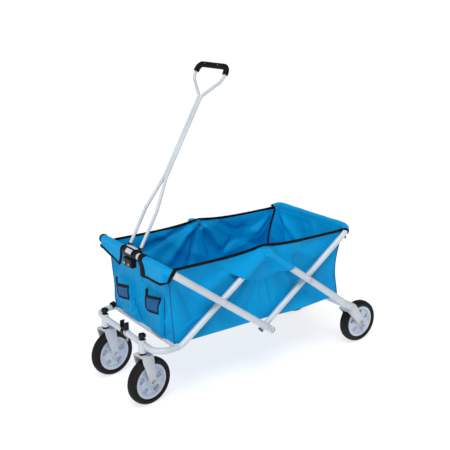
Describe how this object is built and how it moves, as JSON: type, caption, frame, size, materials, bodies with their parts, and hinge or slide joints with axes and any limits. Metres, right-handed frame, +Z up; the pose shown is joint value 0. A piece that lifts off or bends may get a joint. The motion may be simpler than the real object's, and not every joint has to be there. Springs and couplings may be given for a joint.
{
  "type": "folding beach cart",
  "caption": "Folding four-wheel fabric cart on a white scissor frame with a pull handle, two front casters and two fixed rear wheels.",
  "frame": {"origin": "on the ground below the middle of the open cart's overall length and width", "axes": "+X forward, the pulling end; +Y the cart's left; +Z up"},
  "size_m": [1.2445, 0.584, 1.2632],
  "materials": {
    "frame_white": "white powder coat, satin",
    "fork_paint": "light grey powder coat, satin",
    "zinc": "zinc-plated steel",
    "black_plastic": "black moulded plastic",
    "grip_foam": "black soft grip",
    "hub_plastic": "light grey moulded plastic",
    "tyre": "black tyre tread",
    "tub_fabric": "bright azure woven polyester, lightly coated",
    "mesh": "dark blue mesh"
  },
  "bodies": {
    "centre": {"centre_cross_tube": "frame_white", "centre_pivot_bolts": "zinc", "centre_pivot_caps": "frame_white"},
    "front_upper": {"front_upper_frame": "frame_white", "front_upper_end_caps": "black_plastic", "front_cross_bolts": "zinc", "rail_clamp": "black_plastic", "rail_clamp_screws": "zinc", "front_sleeves": "tub_fabric"},
    "rear_upper": {"rear_upper_frame": "frame_white", "rear_upper_end_caps": "black_plastic", "rear_cross_bolts": "zinc", "rear_sleeve": "tub_fabric"},
    "front_lower": {"front_lower_frame": "frame_white", "top_pivot_bolts": "zinc", "front_floor_bar": "frame_white", "front_floor_bar_bolts": "zinc", "swivel_bushes": "black_plastic", "handle_clip": "black_plastic", "clip_hook": "zinc"},
    "rear_lower": {"rear_lower_frame": "frame_white", "rear_floor_bar": "frame_white", "rear_floor_bar_bolts": "zinc", "rear_fork_near": "fork_paint", "rear_fork_far": "fork_paint", "rear_fork_bolts": "zinc", "rear_axle_bolts": "zinc"},
    "handle": {"handle_rod": "frame_white", "handle_grip": "grip_foam", "grip_screws": "zinc", "handle_knuckles": "black_plastic", "handle_foot_pins": "zinc", "handle_saddle": "frame_white"},
    "tub": {"side_panel_near": "tub_fabric", "side_panel_far": "tub_fabric", "pivot_flap_near": "tub_fabric", "pivot_flap_far": "tub_fabric", "panel_buttons": "black_plastic", "floor_panel": "tub_fabric"},
    "front_wall": {"front_panel": "tub_fabric", "front_pockets": "mesh"},
    "rear_wall": {"rear_panel": "tub_fabric"},
    "caster_near": {"caster_fork_near": "fork_paint", "caster_stem_near": "zinc", "caster_washer_near": "black_plastic", "caster_knob_near": "black_plastic", "caster_axle_bolt_near": "zinc"},
    "front_wheel_near": {"front_tyre_near": "tyre", "front_hub_near": "hub_plastic"},
    "rear_wheel_near": {"rear_tyre_near": "tyre", "rear_hub_near": "hub_plastic"},
    "caster_far": {"caster_fork_far": "fork_paint", "caster_stem_far": "zinc", "caster_washer_far": "black_plastic", "caster_knob_far": "black_plastic", "caster_axle_bolt_far": "zinc"},
    "front_wheel_far": {"front_tyre_far": "tyre", "front_hub_far": "hub_plastic"},
    "rear_wheel_far": {"rear_tyre_far": "tyre", "rear_hub_far": "hub_plastic"}
  },
  "joints": [
    {"name": "fold", "type": "hinge", "parent": "centre", "child": "front_upper", "pos_m": [0.0395, 0, 0.23], "axis": [0, -1, 0], "range_deg": [0, 43], "deforming": ["side_panel_near", "side_panel_far", "floor_panel", "pivot_flap_near", "pivot_flap_far"]},
    {"name": "fold_rear_upper", "type": "hinge", "parent": "centre", "child": "rear_upper", "pos_m": [0.0395, 0, 0.23], "axis": [0, 1, 0], "range_deg": [0, 43]},
    {"name": "fold_front_lower", "type": "hinge", "parent": "front_upper", "child": "front_lower", "pos_m": [0.2545, 0, 0.3865], "axis": [0, 1, 0], "range_deg": [0, 86]},
    {"name": "fold_rear_lower", "type": "hinge", "parent": "rear_upper", "child": "rear_lower", "pos_m": [-0.1755, 0, 0.3865], "axis": [0, -1, 0], "range_deg": [0, 86]},
    {"name": "fold_tub", "type": "hinge", "parent": "front_lower", "child": "tub", "pos_m": [0.0395, 0, 0.543], "axis": [0, -1, 0], "range_deg": [0, 43]},
    {"name": "fold_front_wall", "type": "hinge", "parent": "front_upper", "child": "front_wall", "pos_m": [0.49699, 0, 0.56301], "axis": [0, 1, 0], "range_deg": [0, 43]},
    {"name": "fold_rear_wall", "type": "hinge", "parent": "rear_upper", "child": "rear_wall", "pos_m": [-0.41799, 0, 0.56301], "axis": [0, -1, 0], "range_deg": [0, 43]},
    {"name": "handle_tilt", "type": "hinge", "parent": "front_upper", "child": "handle", "pos_m": [0.49699, 0, 0.56301], "axis": [0, 1, 0], "range_deg": [-45, 105]},
    {"name": "swivel_near", "type": "hinge", "parent": "front_lower", "child": "caster_near", "pos_m": [0.5515, 0.15, 0.24], "axis": [0, 0, 1], "continuous": true},
    {"name": "front_spin_near", "type": "hinge", "parent": "caster_near", "child": "front_wheel_near", "pos_m": [0.52575, 0.14638, 0.095], "axis": [-0.1392, 0.9903, 0], "continuous": true},
    {"name": "rear_spin_near", "type": "hinge", "parent": "rear_lower", "child": "rear_wheel_near", "pos_m": [-0.5295, 0.212, 0.095], "axis": [0, 1, 0], "continuous": true},
    {"name": "swivel_far", "type": "hinge", "parent": "front_lower", "child": "caster_far", "pos_m": [0.5515, -0.15, 0.24], "axis": [0, 0, 1], "continuous": true},
    {"name": "front_spin_far", "type": "hinge", "parent": "caster_far", "child": "front_wheel_far", "pos_m": [0.52575, -0.15362, 0.095], "axis": [-0.1392, 0.9903, 0], "continuous": true},
    {"name": "rear_spin_far", "type": "hinge", "parent": "rear_lower", "child": "rear_wheel_far", "pos_m": [-0.5295, -0.212, 0.095], "axis": [0, 1, 0], "continuous": true}
  ],
  "couplings": [
    {"joint": "fold_rear_upper", "follows": "fold", "ratio": 1},
    {"joint": "fold_front_lower", "follows": "fold", "ratio": 2},
    {"joint": "fold_rear_lower", "follows": "fold", "ratio": 2},
    {"joint": "fold_tub", "follows": "fold", "ratio": 1},
    {"joint": "fold_front_wall", "follows": "fold", "ratio": 1},
    {"joint": "fold_rear_wall", "follows": "fold", "ratio": 1}
  ]
}
